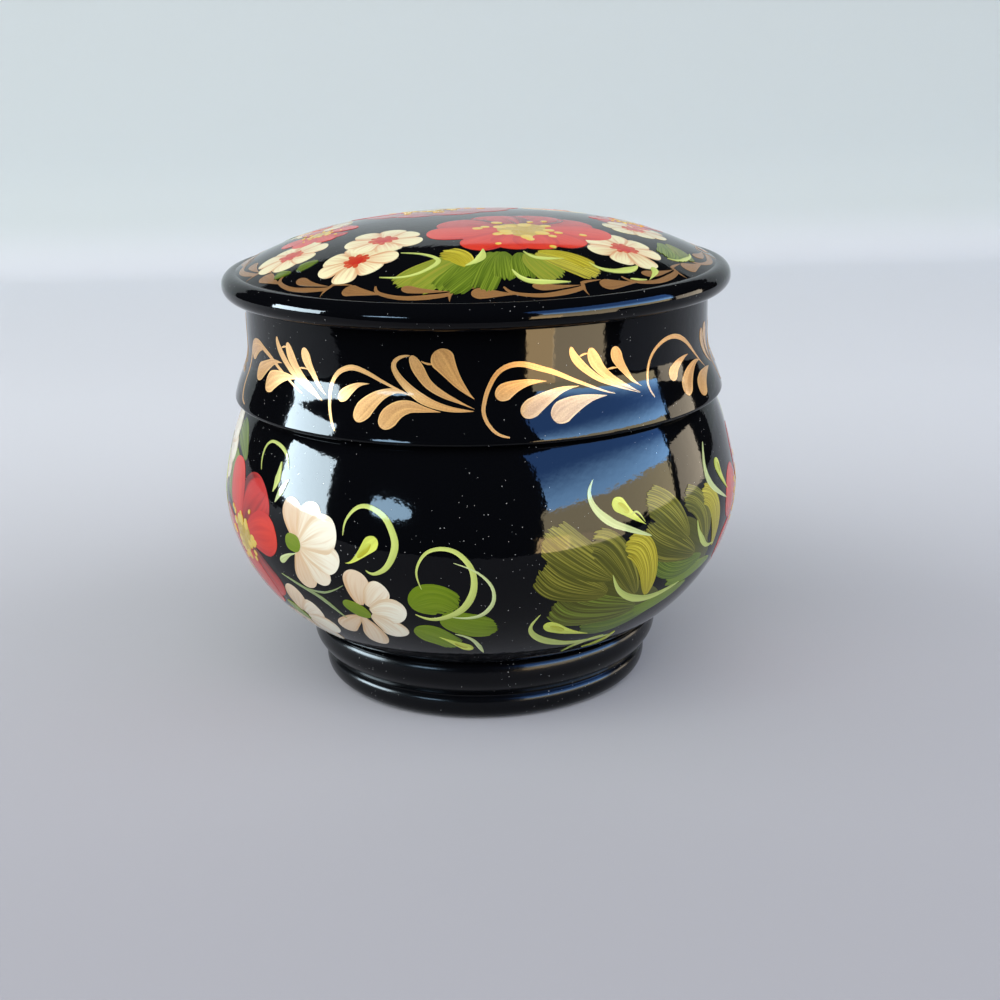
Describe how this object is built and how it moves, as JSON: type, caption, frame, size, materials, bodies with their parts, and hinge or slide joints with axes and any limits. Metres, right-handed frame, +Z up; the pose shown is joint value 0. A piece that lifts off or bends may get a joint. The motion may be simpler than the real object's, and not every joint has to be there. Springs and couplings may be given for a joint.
{
  "type": "lacquer trinket box",
  "caption": "Round turned wooden trinket box in black lacquer with folk flower painting: a footed, bulged bowl and a domed lid that lifts off its tenon.",
  "frame": {"origin": "middle of the flat ring under the foot, on the surface that the box stands on", "axes": "+Z up along the turning axis, which is also the way the lid lifts; the pictured front faces -Y, +X to its right"},
  "size_m": [0.088, 0.088, 0.0792],
  "materials": {
    "bowl_lacquer": "black gloss lacquer over turned lime wood, hand-painted flowers and leaves under clear varnish",
    "lid_lacquer": "black gloss lacquer over turned lime wood, hand-painted flowers and a bronze scroll band under clear varnish"
  },
  "bodies": {
    "bowl": {"bowl": "bowl_lacquer"},
    "lid": {"lid": "lid_lacquer"}
  },
  "joints": [
    {"name": "lid_lift", "type": "slide", "parent": "bowl", "child": "lid", "axis": [0, 0, 1], "range_m": [0, 0.08]}
  ]
}
